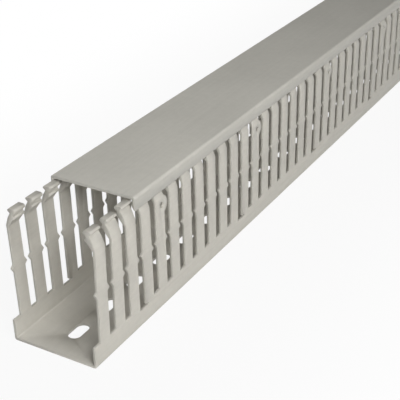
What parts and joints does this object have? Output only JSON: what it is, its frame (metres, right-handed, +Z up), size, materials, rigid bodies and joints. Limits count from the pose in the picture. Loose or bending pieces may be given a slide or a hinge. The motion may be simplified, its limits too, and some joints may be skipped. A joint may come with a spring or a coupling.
{
  "type": "slotted wire duct",
  "caption": "Straight U-shaped cable duct with open-ended finger slots along both walls, slots in its base for fixing, and a clip-on lid.",
  "frame": {"origin": "middle of the duct's underside", "axes": "+X across the duct, +Y along it away from the end where the lid is set back, +Z up from the base to the lid"},
  "size_m": [0.048, 1.038, 0.072],
  "materials": {
    "rigid_pvc": "satin extruded rigid PVC, light warm grey"
  },
  "bodies": {
    "duct": {"slotted_channel": "rigid_pvc"},
    "lid": {"snap_lid": "rigid_pvc"}
  },
  "joints": [
    {"name": "lid_slide", "type": "slide", "parent": "duct", "child": "lid", "axis": [0, 1, 0], "range_m": [-1.045, 0.97]}
  ]
}
